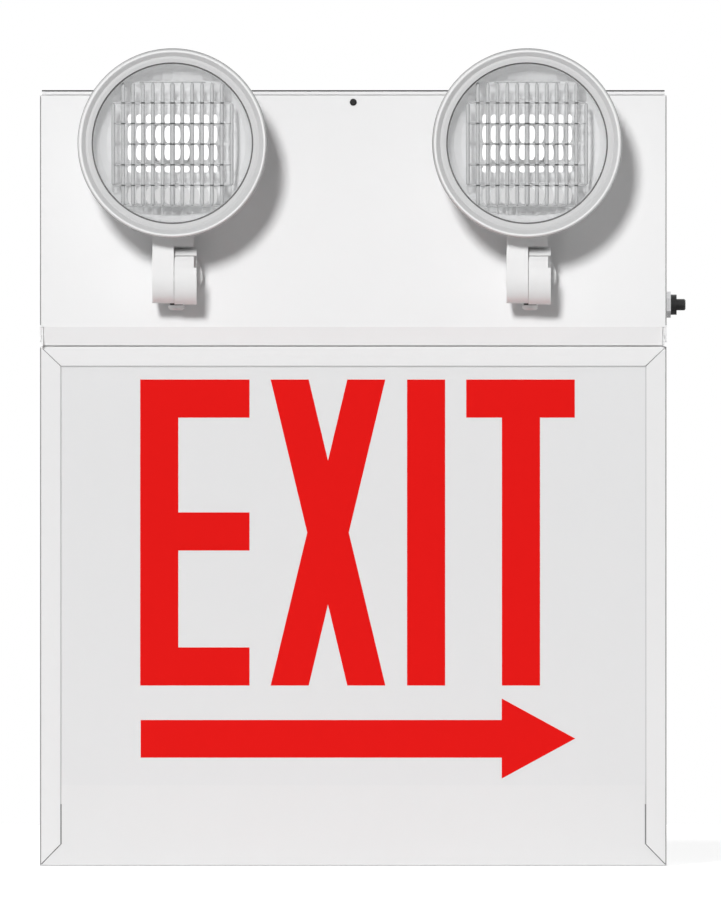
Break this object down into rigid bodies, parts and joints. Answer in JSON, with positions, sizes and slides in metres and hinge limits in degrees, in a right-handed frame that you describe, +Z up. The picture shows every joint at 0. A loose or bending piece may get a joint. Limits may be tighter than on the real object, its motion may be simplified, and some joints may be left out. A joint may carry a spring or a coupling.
{
  "type": "emergency exit light",
  "caption": "Wall-mounted exit sign with a battery cabinet above it and two adjustable emergency lamp heads on a tilt-down cover.",
  "frame": {"origin": "middle of the flat back face that meets the wall", "axes": "+Z up, -Y to the front (out of the wall), +X to the right as seen from the front"},
  "size_m": [0.429, 0.189, 0.5421],
  "materials": {
    "white_enamel": "smooth semi-gloss white powder coat",
    "panel_white": "translucent white sheet",
    "lamp_plastic": "white moulded thermoplastic",
    "lens_glass": "clear pressed lens",
    "gasket_rubber": "pale sealing ring",
    "bright_reflector": "vacuum-metallised",
    "socket_plastic": "heat-resistant moulding",
    "zinc_steel": "zinc-plated fastener",
    "white_screw": "pale plated screw",
    "black_screw": "blackened steel screw",
    "black_plastic": "black moulded plastic",
    "battery_case": "black battery case",
    "board_green": "circuit board",
    "core_steel": "varnished laminations",
    "post_nylon": "nylon posts",
    "terminal_plastic": "moulded terminal block"
  },
  "bodies": {
    "housing": {"back_plate": "white_enamel", "cabinet_shell": "white_enamel", "cabinet_shelf": "white_enamel", "sign_housing": "white_enamel", "bottom_cap": "white_enamel", "legend_panel": "panel_white", "panel_rail_left": "white_enamel", "panel_rail_right": "white_enamel", "reflector_tray": "white_enamel", "led_strip_lower": "board_green", "led_strip_upper": "board_green", "battery": "battery_case", "battery_strap": "zinc_steel", "transformer": "core_steel", "charger_board": "board_green", "board_standoffs": "post_nylon", "board_screws": "zinc_steel", "terminal_block": "terminal_plastic", "test_switch_body": "black_plastic", "test_switch_washer": "zinc_steel", "test_switch_nut": "zinc_steel", "test_switch_collar": "black_plastic", "pivot_pin_left": "zinc_steel", "pivot_pin_right": "zinc_steel"},
    "cover": {"front_cover": "white_enamel", "cover_screw": "black_screw"},
    "left_knuckle": {"left_elbow": "lamp_plastic", "left_spigot_nut": "zinc_steel", "left_swivel_screw": "white_screw", "left_pivot_bolt": "zinc_steel", "left_pivot_nut": "zinc_steel"},
    "left_lamp": {"left_head_shell": "lamp_plastic", "left_bezel": "lamp_plastic", "left_lens": "lens_glass", "left_gasket": "gasket_rubber", "left_reflector": "bright_reflector", "left_bulb": "lens_glass", "left_socket": "socket_plastic"},
    "right_knuckle": {"right_elbow": "lamp_plastic", "right_spigot_nut": "zinc_steel", "right_swivel_screw": "white_screw", "right_pivot_bolt": "zinc_steel", "right_pivot_nut": "zinc_steel"},
    "right_lamp": {"right_head_shell": "lamp_plastic", "right_bezel": "lamp_plastic", "right_lens": "lens_glass", "right_gasket": "gasket_rubber", "right_reflector": "bright_reflector", "right_bulb": "lens_glass", "right_socket": "socket_plastic"},
    "test_push": {"test_button": "black_plastic"}
  },
  "joints": [
    {"name": "cover_hinge", "type": "hinge", "parent": "housing", "child": "cover", "pos_m": [0, -0.102, 0.0934], "axis": [1, 0, 0], "range_deg": [0, 60]},
    {"name": "left_swivel", "type": "hinge", "parent": "cover", "child": "left_knuckle", "pos_m": [-0.1174, -0.109, 0.1339], "axis": [0, -1, 0], "range_deg": [-90, 90]},
    {"name": "left_tilt", "type": "hinge", "parent": "left_knuckle", "child": "left_lamp", "pos_m": [-0.1174, -0.142, 0.1339], "axis": [1, 0, 0], "range_deg": [-5, 78]},
    {"name": "right_swivel", "type": "hinge", "parent": "cover", "child": "right_knuckle", "pos_m": [0.1174, -0.109, 0.1339], "axis": [0, -1, 0], "range_deg": [-90, 90]},
    {"name": "right_tilt", "type": "hinge", "parent": "right_knuckle", "child": "right_lamp", "pos_m": [0.1174, -0.142, 0.1339], "axis": [1, 0, 0], "range_deg": [-5, 78]},
    {"name": "test_press", "type": "slide", "parent": "housing", "child": "test_push", "axis": [-1, 0, 0], "range_m": [0, 0.0025], "stiffness_N_per_m": 400, "springref_m": -0.0015}
  ]
}
